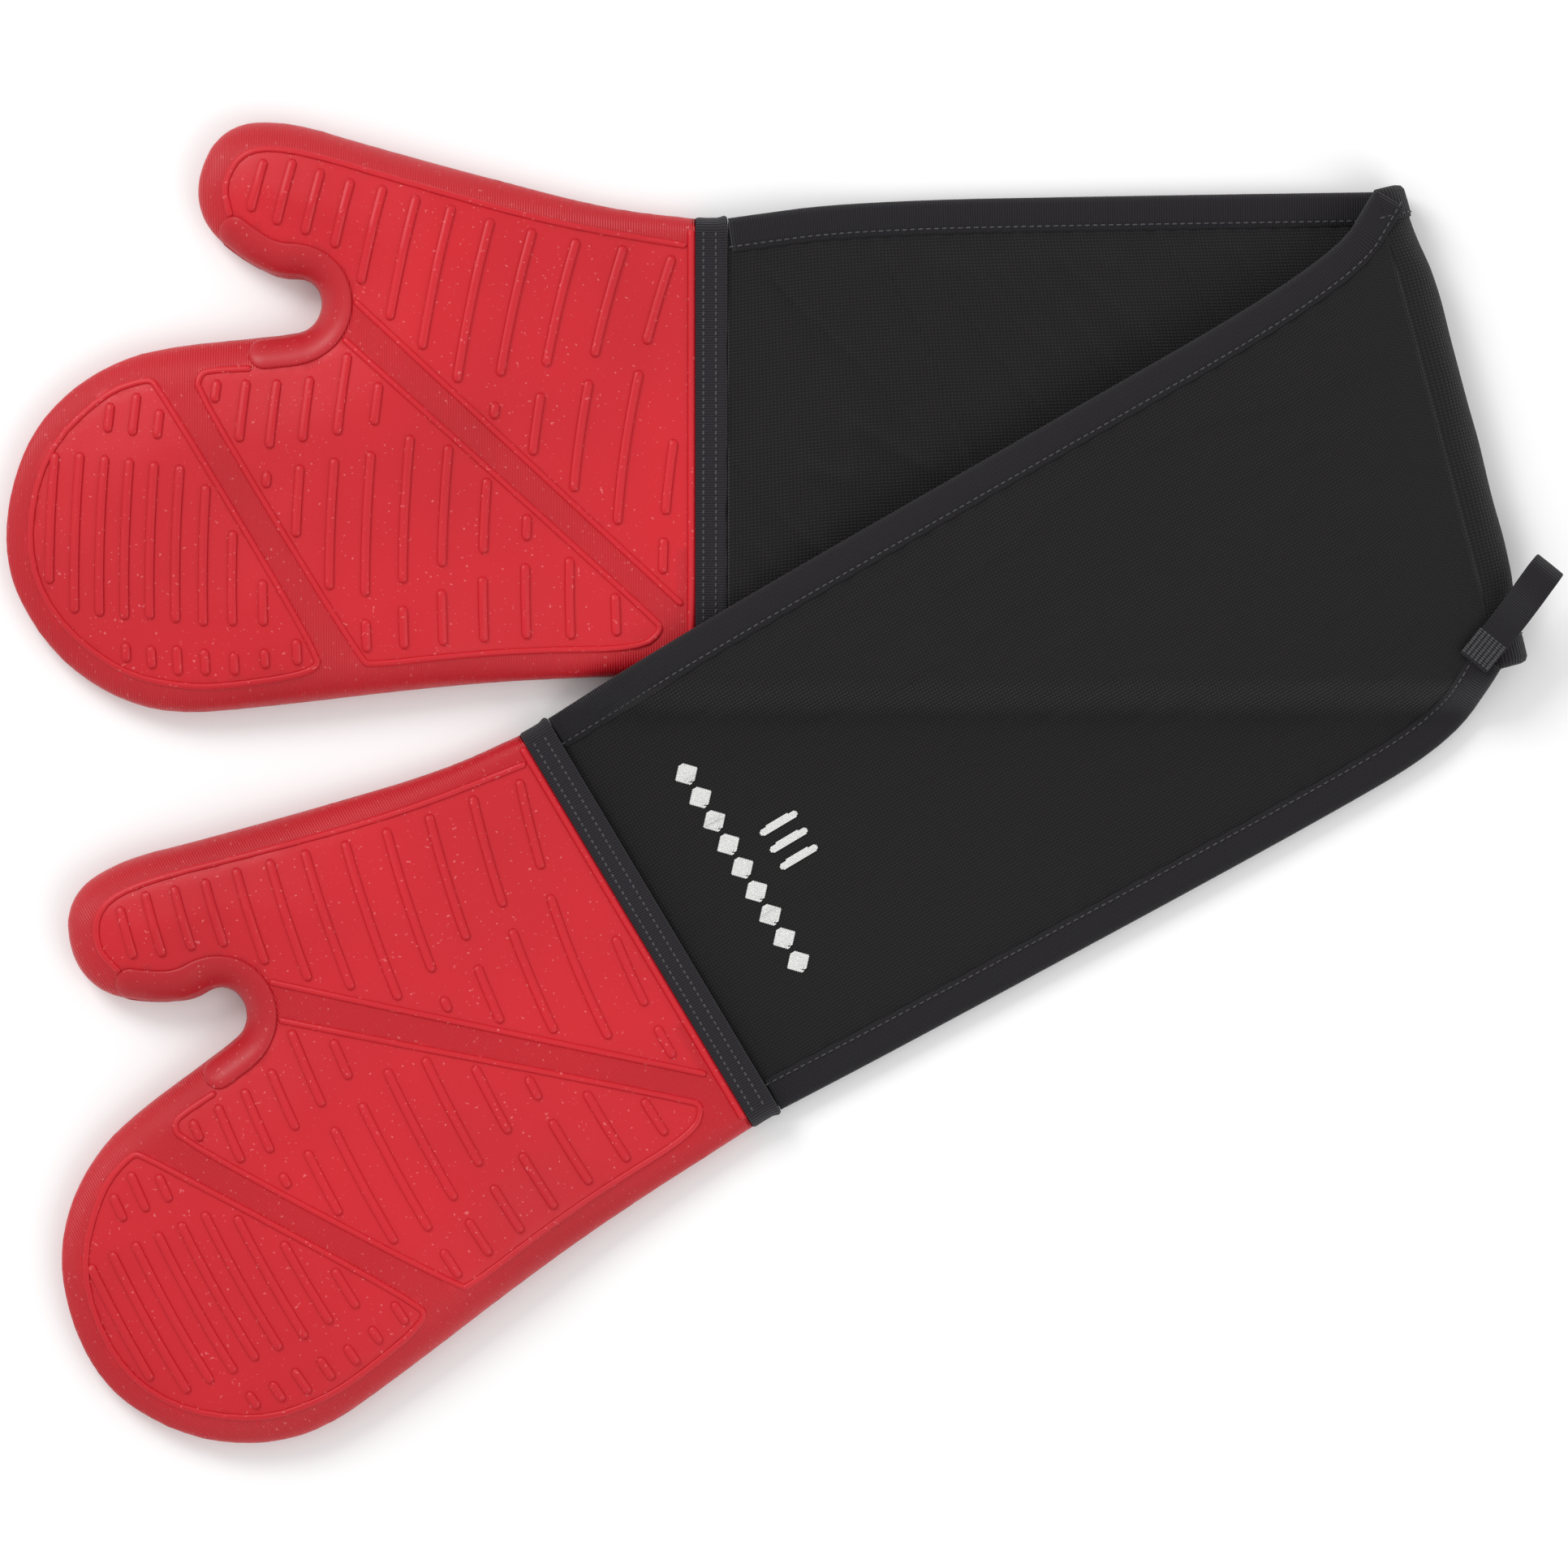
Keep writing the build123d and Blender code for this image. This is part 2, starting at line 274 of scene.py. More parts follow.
def silicone_material(name, dark, light):
    """Satin red silicone: fine moulded lines on the borders, smooth panels, pale dust, and painted shade that
    darkens the borders and most of all their grooves.
    """
    material, tree, shader = new_material(name, light, 0.4)
    shader.inputs["Specular IOR Level"].default_value = 0.35
    shader.inputs["Subsurface Weight"].default_value = 0.08
    shader.inputs["Subsurface Radius"].default_value = (0.004, 0.001, 0.001)
    uv = coordinates(tree, "UV")
    place = coordinates(tree, "Object")
    border = tree.nodes.new("ShaderNodeAttribute")
    border.attribute_name = "border"
    lines = arithmetic(tree, "MULTIPLY", wave(tree, uv, "X", 0.78), border.outputs["Fac"])
    grain = arithmetic(tree, "MULTIPLY", speckle(tree, place, 1800), 0.25)
    bump(tree, shader, arithmetic(tree, "ADD", lines, grain), 0.16, 0.8)
    cloud = speckle(tree, place, 16, 2)
    body = ramp(tree, cloud, [(0.3, dark), (0.7, light)])
    dust = ramp(tree, speckle(tree, place, 900, 1), [(0.70, (0, 0, 0)), (0.76, (0.22, 0.2, 0.2))])
    mix = tree.nodes.new("ShaderNodeMix")
    mix.data_type = "RGBA"
    mix.blend_type = "ADD"
    mix.inputs["Factor"].default_value = 0.5
    tree.links.new(body, mix.inputs[6])
    tree.links.new(dust, mix.inputs[7])
    # painted shade: multiplies the colour darker over the rounded border strip, and most of all in the
    # grooves between its moulded lines
    border_groove_shade = tree.nodes.new("ShaderNodeMix")
    border_groove_shade.data_type = "RGBA"
    border_groove_shade.blend_type = "MULTIPLY"
    border_groove_shade.inputs[7].default_value = (0.66, 0.6, 0.6, 1)
    grooves = arithmetic(tree, "MULTIPLY", arithmetic(tree, "SUBTRACT", 1.35, lines), 0.36)
    tree.links.new(arithmetic(tree, "MULTIPLY", grooves, border.outputs["Fac"]), border_groove_shade.inputs["Factor"])
    tree.links.new(mix.outputs[2], border_groove_shade.inputs[6])
    tree.links.new(border_groove_shade.outputs[2], shader.inputs["Base Color"])
    rough = tree.nodes.new("ShaderNodeMapRange")
    rough.inputs["To Min"].default_value = 0.34
    rough.inputs["To Max"].default_value = 0.5
    tree.links.new(speckle(tree, place, 60), rough.inputs["Value"])
    tree.links.new(rough.outputs[0], shader.inputs["Roughness"])
    return material


def woven_material(name, low, high, pitch, depth, across_pitch=None, sheen=0.25):
    """Cloth: warp and weft lines on the UV map, with thread-to-thread colour changes."""
    material, tree, shader = new_material(name, low, 0.88)
    shader.inputs["Sheen Weight"].default_value = sheen
    shader.inputs["Sheen Roughness"].default_value = 0.5
    shader.inputs["Specular IOR Level"].default_value = 0.25
    uv = coordinates(tree, "UV")
    warp = wave(tree, uv, "X", pitch, 0.9)
    if across_pitch:
        weft = wave(tree, uv, "Y", across_pitch, 0.9)
        weave = arithmetic(tree, "MULTIPLY", warp, weft)
    else:
        weave = warp
    fibres = speckle(tree, uv, 60, 4)
    height = arithmetic(tree, "ADD", weave, arithmetic(tree, "MULTIPLY", fibres, 0.5))
    bump(tree, shader, height, depth)
    shade = arithmetic(tree, "ADD", arithmetic(tree, "MULTIPLY", weave, 0.5),
                       arithmetic(tree, "MULTIPLY", fibres, 0.6))
    tree.links.new(ramp(tree, shade, [(0.2, low), (0.85, high)]), shader.inputs["Base Color"])
    return material


def thread_material(name, low, high):
    """Spun thread: twisted fibres along each stitch."""
    material, tree, shader = new_material(name, low, 0.7)
    shader.inputs["Sheen Weight"].default_value = 0.3
    place = coordinates(tree, "Object")
    fibres = speckle(tree, place, 2400, 2)
    bump(tree, shader, fibres, 0.12)
    tree.links.new(ramp(tree, fibres, [(0.3, low), (0.7, high)]), shader.inputs["Base Color"])
    return material


def terry_material():
    """Looped lining cloth."""
    material, tree, shader = new_material("terry_lining", (0.03, 0.03, 0.032), 0.95)
    shader.inputs["Sheen Weight"].default_value = 0.4
    place = coordinates(tree, "Object")
    loops = speckle(tree, place, 700, 4)
    bump(tree, shader, loops, 0.9)
    tree.links.new(ramp(tree, loops, [(0.35, (0.012, 0.012, 0.013)), (0.7, (0.06, 0.06, 0.064))]),
                   shader.inputs["Base Color"])
    return material


SILICONE_RED = silicone_material("red_silicone", (0.50, 0.0075, 0.016), (0.58, 0.0095, 0.019))
PAD_RED = silicone_material("web_silicone", (0.42, 0.009, 0.016), (0.48, 0.011, 0.019))
CANVAS = woven_material("cotton_canvas", (0.0035, 0.003, 0.0036), (0.023, 0.020, 0.022), 1.0, 0.4, 1.0, 0.1)
TAPE = woven_material("twill_tape", (0.004, 0.0035, 0.0045), (0.02, 0.017, 0.021), 0.75, 0.3, sheen=0.1)
CUFF_TAPE = woven_material("cuff_tape", (0.006, 0.005, 0.007), (0.028, 0.025, 0.032), 0.8, 0.3, sheen=0.12)
THREAD = thread_material("black_thread", (0.014, 0.013, 0.015), (0.06, 0.056, 0.062))
WHITE_THREAD = thread_material("white_thread", (0.62, 0.62, 0.61), (0.9, 0.9, 0.88))
TERRY = terry_material()


# ---------------------------------------------------------------- stitches, by geometry nodes
def stitch_tree():
    """Stitches at even spacing along a curve, each a small rounded grain laid along it."""
    tree = bpy.data.node_groups.new("stitch_row", "GeometryNodeTree")
    tree.interface.new_socket("Geometry", in_out="INPUT", socket_type="NodeSocketGeometry")
    for label, value in (("Spacing", 2.0 * MM), ("Length", 1.5 * MM), ("Width", 0.6 * MM)):
        socket = tree.interface.new_socket(label, in_out="INPUT", socket_type="NodeSocketFloat")
        socket.default_value = value
    tree.interface.new_socket("Material", in_out="INPUT", socket_type="NodeSocketMaterial")
    tree.interface.new_socket("Geometry", in_out="OUTPUT", socket_type="NodeSocketGeometry")
    add, link = tree.nodes.new, tree.links.new
    given = add("NodeGroupInput")
    points = add("GeometryNodeCurveToPoints")
    points.mode = "LENGTH"
    grain = add("GeometryNodeMeshUVSphere")
    grain.inputs["Segments"].default_value = 6
    grain.inputs["Rings"].default_value = 5
    grain.inputs["Radius"].default_value = 0.5
    size = add("ShaderNodeCombineXYZ")
    place = add("GeometryNodeInstanceOnPoints")
    real = add("GeometryNodeRealizeInstances")
    paint = add("GeometryNodeSetMaterial")
    shade = add("GeometryNodeSetShadeSmooth")
    result = add("NodeGroupOutput")
    link(given.outputs["Geometry"], points.inputs["Curve"])
    link(given.outputs["Spacing"], points.inputs["Length"])
    link(points.outputs["Points"], place.inputs["Points"])
    link(points.outputs["Rotation"], place.inputs["Rotation"])
    link(grain.outputs["Mesh"], place.inputs["Instance"])
    link(given.outputs["Width"], size.inputs["X"])
    link(given.outputs["Width"], size.inputs["Y"])
    link(given.outputs["Length"], size.inputs["Z"])
    link(size.outputs["Vector"], place.inputs["Scale"])
    link(place.outputs["Instances"], real.inputs["Geometry"])
    link(real.outputs["Geometry"], shade.inputs["Geometry"])
    link(shade.outputs["Geometry"], paint.inputs["Geometry"])
    link(given.outputs["Material"], paint.inputs["Material"])
    link(paint.outputs["Geometry"], result.inputs["Geometry"])
    return tree


STITCHES = stitch_tree()


def stitch_rows(name, rows_mm, material, spacing=2.0, length=1.5, width=0.6):
    """One piece holding the stitches of several rows."""
    curve = bpy.data.curves.new(name, "CURVE")
    curve.dimensions = "3D"
    for row in rows_mm:
        spline = curve.splines.new("POLY")
        spline.points.add(len(row) - 1)
        for point, place in zip(spline.points, row):
            point.co = (*(np.array(place) * MM), 1)
    path = bpy.data.objects.new(name + "_path", curve)
    bpy.context.scene.collection.objects.link(path)
    rows = path.modifiers.new("rows", "NODES")
    rows.node_group = STITCHES
    ids = {s.name: s.identifier for s in STITCHES.interface.items_tree if s.in_out == "INPUT"}
    rows[ids["Spacing"]] = spacing * MM
    rows[ids["Length"]] = length * MM
    rows[ids["Width"]] = width * MM
    rows[ids["Material"]] = material
    bpy.context.view_layer.update()
    evaluated = path.evaluated_get(bpy.context.evaluated_depsgraph_get())
    mesh = bpy.data.meshes.new_from_object(evaluated)
    bpy.data.objects.remove(path)
    piece = bpy.data.objects.new(name, mesh)
    bpy.context.scene.collection.objects.link(piece)
    return piece


# ---------------------------------------------------------------- mitt shape
MITT_OUTLINE = [
    (0, 69.5), (25.8, 72.3), (62, 81.5), (102.3, 92.5), (119.5, 97.8), (131, 99.1), (139, 98.3),
    (145.4, 94.3), (149.4, 88.6), (152.2, 79), (151, 71), (147.8, 65.5), (143, 60.8), (135, 55.1),
    (126.3, 50.8), (119, 51.2), (115, 48), (113.9, 44), (114.3, 40), (116.8, 36.4), (120.8, 34.4),
    (135.8, 32.8), (159, 30.5), (174.9, 26.8), (190.8, 17.6), (202.8, 4), (209.2, -13.5),
    (210.8, -30.3), (207.6, -45.4), (195.6, -63.8), (178.9, -76.1), (159.8, -81.9), (131, -79.5),
    (85.8, -74.1), (51, -71.1), (0, -69.5),
]
UPPER_PANEL = [
    (141.5, 69.5), (144, 80), (137, 90.5), (121, 90), (84.5, 79), (42.5, 67.5), (2.8, 61),
    (4, -48.5), (103.8, 44), (106, 53), (115, 60.5), (125, 61.5), (133, 66),
]
MIDDLE_PANEL = [
    (107.2, 32.5), (12, -53), (10.2, -56.5), (16.8, -61.8), (47, -62.2), (71, -63.8), (98.8, -67),
    (101.5, -65.5), (151.8, 16.5), (150.8, 22), (147, 23), (135, 23.5), (118, 24),
]
TIP_PANEL = [
    (163.8, 18.5), (114.2, -63.8), (115.8, -69.2), (139, -73), (155, -73.8), (175.8, -69.2),
    (196.5, -51.8), (204.2, -30.2), (198.8, -2.2), (180.5, 16), (167, 20.5),
]
WEB_PAD = [
    (144, 68), (137, 62), (128, 56.8), (118, 56.6), (110.5, 51), (108.6, 42), (112, 34), (119, 29.4),
    (128, 28.4), (136, 27.6),
]
RIB_GAPS = [
    [(3.8, 30), (60, 16.8), (98, 2), (133.2, -4.8), (182.2, 1), (205, 4)],
    [(3, -23.5), (51.8, -32.8), (76.8, -40.8), (99.8, -49.2), (128.5, -58), (144.2, -59.2), (205, -53)],
]
OUTLINE = resample(chaikin(MITT_OUTLINE, 2), 0.8)


def inside(point, polygon):
    """True where a point lies inside a polygon."""
    x, y = point
    hit = False
    for (x1, y1), (x2, y2) in zip(polygon, polygon[1:] + polygon[:1]):
        if (y1 > y) != (y2 > y) and x < (x2 - x1) * (y - y1) / (y2 - y1) + x1:
            hit = not hit
    return hit


OUTLINE_LIST = [tuple(p) for p in OUTLINE]
GRID_LOW = (-12, -95)
GRID_SIZE = (236, 206)


def distance_grid():
    """Signed distance in from the outline, on a grid of one millimetre."""
    us = np.arange(GRID_SIZE[0]) + GRID_LOW[0]
    vs = np.arange(GRID_SIZE[1]) + GRID_LOW[1]
    u, v = np.meshgrid(us, vs, indexing="ij")
    mirrored = np.vstack([OUTLINE, OUTLINE * [-1, 1]])
    near = np.full(u.shape, 1e9)
    for a, b in mirrored:
        near = np.minimum(near, (u - a) ** 2 + (v - b) ** 2)
    within = np.zeros(u.shape, bool)
    for (u1, v1), (u2, v2) in zip(OUTLINE_LIST, OUTLINE_LIST[1:]):
        if v1 == v2:
            continue
        crossed = ((v1 > v) != (v2 > v)) & (np.abs(u) < (u2 - u1) * (v - v1) / (v2 - v1) + u1)
        within ^= crossed
    return np.sqrt(near) * np.where(within, 1, -1)


DISTANCE = distance_grid()


def edge_distance(u, v):
    """Distance in from the mitt's outline, 0 outside it."""
    a = min(max(u - GRID_LOW[0], 0), GRID_SIZE[0] - 1.001)
    b = min(max(v - GRID_LOW[1], 0), GRID_SIZE[1] - 1.001)
    i, j = int(a), int(b)
    a, b = a - i, b - j
    near = (DISTANCE[i, j] * (1 - a) + DISTANCE[i + 1, j] * a) * (1 - b)
    near += (DISTANCE[i, j + 1] * (1 - a) + DISTANCE[i + 1, j + 1] * a) * b
    return max(float(near), 0.0)


def mitt_height(u, v, up):
    """Height of the mitt's upper or lower surface over the table, in millimetres."""
    d = edge_distance(u, v)
    body = float(smooth(u / 70))
    peak = np.interp(u, [0, 15, 80, 115, 165, 211],
                     [RIM_HEIGHT, RIM_HEIGHT, PALM_HEIGHT, PALM_HEIGHT, 17, TIP_HEIGHT])
    middle = RIM_HEIGHT / 2 + 1.5 * body
    reach = 5.5 + (6.5 * body if up else 2.5 * body)
    t = min(d / reach, 1.0)
    round_over = math.sqrt(max(1 - (1 - t) ** 2, 0.0))
    if up:
        crown = 1 - 0.16 * body * (1 - float(smooth(d / 34)))
        top = middle + (peak * crown - middle) * round_over
        dent = 0.7 * noise.noise(Vector((u * 0.02, v * 0.02, 1.0))) * body * float(smooth(d / 15))
        return top + dent
    return RELIEF_ROOM + (middle - RELIEF_ROOM) * (1 - round_over)


class Laid:
    """Places flat mitt or arm coordinates in the frame, from a cuff joint."""

    def __init__(self, joint_name):
        joint = JOINTS[joint_name]
        axis = np.array(joint["axis"])
        self.across = np.array([axis[0], axis[1], 0.0])
        self.along = np.array([axis[1], -axis[0], 0.0])
        seam = np.array([joint["pos_m"][0], joint["pos_m"][1], 0.0]) / MM
        self.rim = seam - self.along * SEAM_TO_RIM

    def at(self, u, v, z):
        """u is measured from the rim towards the fingertips."""
        return self.rim - self.along * u + self.across * v + np.array([0, 0, z])


def mitt_surface(name, laid, shrink, material):
    """The mitt's skin: both faces, open at the rim, shrunk inwards by a distance."""
    flat = [Vector(p) for p in resample(chaikin(MITT_OUTLINE, 2), 1.8)]
    loop = list(range(len(flat)))
    normals = []
    for k, point in enumerate(flat):
        tangent = flat[min(k + 1, len(flat) - 1)] - flat[max(k - 1, 0)]
        normals.append(Vector((tangent.y, -tangent.x)).normalized())
    inner = []
    for depth in (0.25, 0.8, 1.7, 3.0, 4.8, 7.0):
        for point, normal in zip(flat, normals):
            p = point - normal * depth
            if edge_distance(p.x, p.y) < depth * 0.5:
                p = point + normal * depth
            if p.x > 0.3 and abs(edge_distance(p.x, p.y) - depth) < 0.25 * depth + 0.05:
                inner.append(p)
    step = 2.6
    for i in range(int(211 / step)):
        for j in range(-32, 40):
            p = Vector((1.2 + i * step, (j + 0.5 * (i % 2)) * step))
            if edge_distance(p.x, p.y) > 8.6:
                inner.append(p)
    for j in range(1, int(RIM_WIDTH / 2.5)):
        inner.append(Vector((0, RIM_WIDTH / 2 - j * 2.5)))
    points, _, triangles, *_ = geometry.delaunay_2d_cdt(flat + inner, [], [loop], 1, 1e-4)
    verts, faces, uvs, border = [], [], [], []
    panels = [UPPER_PANEL, MIDDLE_PANEL, TIP_PANEL]
    for up in (True, False):
        base = len(verts)
        for p in points:
            verts.append(laid.at(p.x, p.y, mitt_height(p.x, p.y, up)))
            uvs.append((p.x / 10, p.y / 10))
            border.append(0.0 if any(inside((p.x, p.y), panel) for panel in panels) else 1.0)
        for tri in triangles:
            face = tuple(base + k for k in tri)
            faces.append(face if up else face[::-1])
    piece = make_piece(name, verts, faces, material, uvs)
    work = bmesh.new()
    work.from_mesh(piece.data)
    mask = work.verts.layers.float.new("border")
    for vert, value in zip(work.verts, border):
        vert[mask] = value
    seam = [v for v in work.verts if v.is_boundary]
    bmesh.ops.remove_doubles(work, verts=seam, dist=0.02 * MM)
    bmesh.ops.recalc_face_normals(work, faces=work.faces)
    if sum(f.normal.z * f.calc_area() * f.calc_center_median().z for f in work.faces) < 0:
        bmesh.ops.reverse_faces(work, faces=work.faces)
    work.normal_update()
    if shrink:
        moves = [(v, v.co - v.normal * shrink * MM) for v in work.verts]
        for vert, place in moves:
            vert.co = place
    work.to_mesh(piece.data)
    work.free()
    wall = piece.modifiers.new("wall", "SOLIDIFY")
    wall.thickness = (SILICONE if not shrink else LINING) * MM
    wall.offset = -1
    return apply_modifiers(piece)


ROUND_SECTION = [(-1, -0.6), (-0.86, 0.4), (-0.5, 0.87), (0, 1), (0.5, 0.87), (0.86, 0.4), (1, -0.6)]
BAR_SECTION = [(-1, -0.6), (-0.95, 0.55), (-0.78, 0.92), (0, 1.05), (0.78, 0.92), (0.95, 0.55), (1, -0.6)]
STRIP_STEP = 0.9


def raised_strip(name, laid, path, width, height, up, material, closed=False, round_top=True):
    """A moulded bead or bar on the mitt's skin, along a path in flat coordinates."""
    path = resample(path, STRIP_STEP, closed)
    count = len(path)
    shape = ROUND_SECTION if round_top else BAR_SECTION
    verts, faces, uvs = [], [], []
    sign = 1 if up else -1
    for i, p in enumerate(path):
        ahead = path[(i + 1) % count] if closed or i < count - 1 else p
        back = path[i - 1] if closed or i else p
        t = ahead - back
        t = t / (np.linalg.norm(t) + 1e-9)
        side = np.array([-t[1], t[0]])
        near_end = 9.0 if closed else min(i, count - 1 - i) * STRIP_STEP + 0.15
        taper = math.sqrt(max(1 - max(1 - near_end / (width / 2), 0) ** 2, 0.02))
        for a, b in shape:
            q = p + side * a * width / 2 * taper
            z = mitt_height(q[0], q[1], up) + sign * b * height * taper
            verts.append(laid.at(q[0], q[1], z))
            uvs.append((q[0] / 10, q[1] / 10))
    n = len(shape)
    for i in range(count if closed else count - 1):
        j = (i + 1) % count
        for k in range(n):
            m = (k + 1) % n
            faces.append((i * n + k, i * n + m, j * n + m, j * n + k))
    if not closed:
        faces.append(tuple(range(n)))
        faces.append(tuple((count - 1) * n + k for k in range(n))[::-1])
    return outward(make_piece(name, verts, faces, material, uvs))


def rib_runs():
    """The grip ribs: arcs across the mitt, cut by the panels' edges and by two gaps."""
    runs = []
    apex = 10.0
    for k in range(RIB_COUNT):
        radius = np.interp(apex, [24, 90], [290, 450])
        for panel in (UPPER_PANEL, MIDDLE_PANEL, TIP_PANEL):
            run = []
            for v in np.arange(-80, 98, 1.0):
                u = apex - (v + 42.5) ** 2 / (2 * radius)
                gap = any(abs(v - np.interp(u, *zip(*curve))) < GAP_WIDTH / 2 + 0.6 for curve in RIB_GAPS)
                margin = all(inside((u + a, v + b), panel) for a, b in ((3, 0), (-3, 0), (0, 3), (0, -3)))
                if margin and not gap:
                    run.append((u, v))
                    continue
                if len(run) > 4:
                    runs.append(run)
                run = []
            if len(run) > 4:
                runs.append(run)
        apex += max(7.7, 14.4 - 0.5 * k)
    return runs


RIB_RUNS = rib_runs()


def make_mitt(body, joint_name):
    """One mitt: silicone shell with its relief, lining, cuff tape and stitching."""
    laid = Laid(joint_name)
    shell = mitt_surface(body + "_silicone", laid, 0, SILICONE_RED)
    lining = mitt_surface(body + "_terry", laid, SILICONE + 0.15, TERRY)
    strips = []
    for up in (True, False):
        for run in RIB_RUNS:
            strips.append(raised_strip("rib", laid, run, RIB_WIDTH, 0.9, up, SILICONE_RED,
                                       round_top=False))
        upper = chaikin(UPPER_PANEL[:7], 2)
        strips.append(raised_strip("bead", laid, upper, BEAD_WIDTH, 0.8, up, SILICONE_RED))
        slant = [UPPER_PANEL[7], UPPER_PANEL[8]]
        strips.append(raised_strip("bead", laid, slant, BEAD_WIDTH, 0.8, up, SILICONE_RED))
        strips.append(raised_strip("bead", laid, chaikin(MIDDLE_PANEL[:12], 2), BEAD_WIDTH, 0.8, up,
                                   SILICONE_RED))
        strips.append(raised_strip("bead", laid, chaikin(TIP_PANEL, 2, True), BEAD_WIDTH, 0.8, up,
                                   SILICONE_RED, True))
        strips.append(raised_strip("pad", laid, chaikin(WEB_PAD, 2), 9.8, 1.2, up, PAD_RED,
                                   round_top=False))
        rim = [(1.4, RIM_WIDTH / 2 - 3.5), (1.4, -RIM_WIDTH / 2 + 3.5)]
        strips.append(raised_strip("rim", laid, rim, 2.4, 1.0, up, SILICONE_RED))
    relief = join(body + "_relief", strips)
    cuff, stitches = make_cuff(body, laid)
    for piece, node, slot in ((shell, "shell", "silicone"), (lining, "lining", "lining_cloth"),
                              (cuff, "cuff_tape", "cuff_tape"),
                              (stitches, "cuff_stitching", "thread")):
        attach(piece, body)
        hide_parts(f"{body}_{node}")
    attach(relief, body)


def ring_points(half_width, half_height, corner, step):
    """Points round a rounded rectangle, as (across, up)."""
    out = []
    for cx, cy, start in ((1, 1, 0), (-1, 1, 90), (-1, -1, 180), (1, -1, 270)):
        for k in range(7):
            a = math.radians(start + k * 15)
            out.append(((half_width - corner) * cx + corner * math.cos(a),
                        (half_height - corner) * cy + corner * math.sin(a)))
    return resample(out, step, True)


def make_cuff(body, laid):
    """Folded tape round the mouth with a rolled ridge, and two rows of stitches."""
    ring = ring_points(RIM_WIDTH / 2, RIM_HEIGHT / 2, 4.6, 1.5)
    section = [(0, -0.9), (0, 0.55), (0.8, 0.8), (3.5, 0.7), (6.6, 0.72), (7.6, 1.0), (8.6, 1.35),
               (9.4, 1.0), (9.7, 0.2), (9.2, -0.9)]
    verts, faces, uvs = [], [], []
    n, count = len(section), len(ring)
    run = 0.0
    for i, p in enumerate(ring):
        tangent = ring[(i + 1) % count] - ring[i - 1]
        tangent = tangent / np.linalg.norm(tangent)
        out = np.array([tangent[1], -tangent[0]])
        for k, (along, proud) in enumerate(section):
            q = p + out * (proud - 0.4)
            verts.append(rested(laid.at(-along, q[0], q[1] + RIM_HEIGHT / 2), CUFF_LOW))
            uvs.append((run / 10, k / 10))
        run += float(np.linalg.norm(ring[(i + 1) % count] - p))
    for i in range(count):
        j = (i + 1) % count
        for k in range(n):
            m = (k + 1) % n
            faces.append((i * n + k, i * n + m, j * n + m, j * n + k))
    cuff = outward(make_piece(body + "_cuff", verts, faces, CUFF_TAPE, uvs))
    half = RIM_WIDTH / 2 - 5
    rows = []
    for along in (2.4, 6.2):
        for z in (RIM_HEIGHT + 0.42, 0.34):
            rows.append([laid.at(-along, v, z) for v in np.linspace(-half, half, 60)])
    return cuff, stitch_rows(body + "_cuff_stitches", rows, THREAD, 2.0, 1.35, 0.62)


# ---------------------------------------------------------------- band
FOLD = JOINTS["fold_hinge"]
FOLD_BOTTOM = np.array(FOLD["pos_m"]) / MM
FOLD_AXIS = np.array(FOLD["axis"])
FOLD_OUT = np.array([FOLD_AXIS[1], -FOLD_AXIS[0], 0.0])
FOLD_RADIUS = FOLD_BOTTOM[2]
FOLD_LENGTH = 150.7
OVER_LEVEL = 2 * FOLD_RADIUS - TAPE_OVERALL
STEP_TOP = -56.0
STEP_RUN = 13.0
FOLD_FLAT = np.array([FOLD_BOTTOM[0], FOLD_BOTTOM[1], 0.0])
FOLD_TOP = FOLD_FLAT + FOLD_AXIS * FOLD_LENGTH


def under_lift(p):
    """Underside of the under arm."""
    along = p[0] - UNDER.rim[0] - CUFF_LENGTH
    return (RIM_HEIGHT - TAPE_OVERALL) * (1 - float(smooth((along - 8) / 48)))


def over_lift(p):
    """Underside of the over arm."""
    return OVER_LEVEL * float(smooth((p[1] - STEP_TOP + STEP_RUN) / STEP_RUN))


UNDER = Laid("under_cuff_flex")
OVER = Laid("over_cuff_flex")


def arm_edges(laid, thumb_middle, loop_middle):
    """The two long edges of an arm, from its cuff to the fold line, as smooth point runs."""
    start = CUFF_LENGTH + 0.3
    thumb = [laid.at(-start, RIM_WIDTH / 2, 0)] + [np.array((*p, 0.0)) for p in thumb_middle] + [FOLD_TOP]
    loop = [laid.at(-start, -RIM_WIDTH / 2, 0)] + [np.array((*p, 0.0)) for p in loop_middle] + [FOLD_FLAT]
    return resample(chaikin(thumb, 3), 2.0), resample(chaikin(loop, 3), 2.0)


EDGES = {
    "under_arm": arm_edges(UNDER, [(158.5, 88.9), (240, 90.5)], [(200, -56.6), (290, -55.6)]),
    "over_arm": arm_edges(OVER, [(111, -39.9), (205, 14), (303, 70)],
                          [(173.5, -168.6), (298.5, -101.1), (341, -76)]),
}


def wrinkle(p, arm):
    """Soft quilting, creases and puckers of the padded canvas, in millimetres."""
    line = float(np.dot(p[:2] - FOLD_FLAT[:2], FOLD_OUT[:2]))
    calm = float(smooth(-line / 22))
    slow = noise.noise(Vector((p[0] * 0.018, p[1] * 0.018, 3.0 if arm == "over_arm" else 7.0)))
    turn = 0.52 if arm == "over_arm" else -0.9
    s = p[0] * math.cos(turn) + p[1] * math.sin(turn)
    w = -p[0] * math.sin(turn) + p[1] * math.cos(turn)
    crease = noise.noise(Vector((s * 0.012, w * 0.06, 11.0)))
    ridge = max(0.0, 1 - abs(crease) * 5) ** 2
    depth = 0.8 if arm == "over_arm" else 1.5
    quilt = 0.22 * math.sin(s * 0.19) if arm == "under_arm" else 0.0
    return calm * (1.2 * slow + depth * ridge + quilt - 0.3)


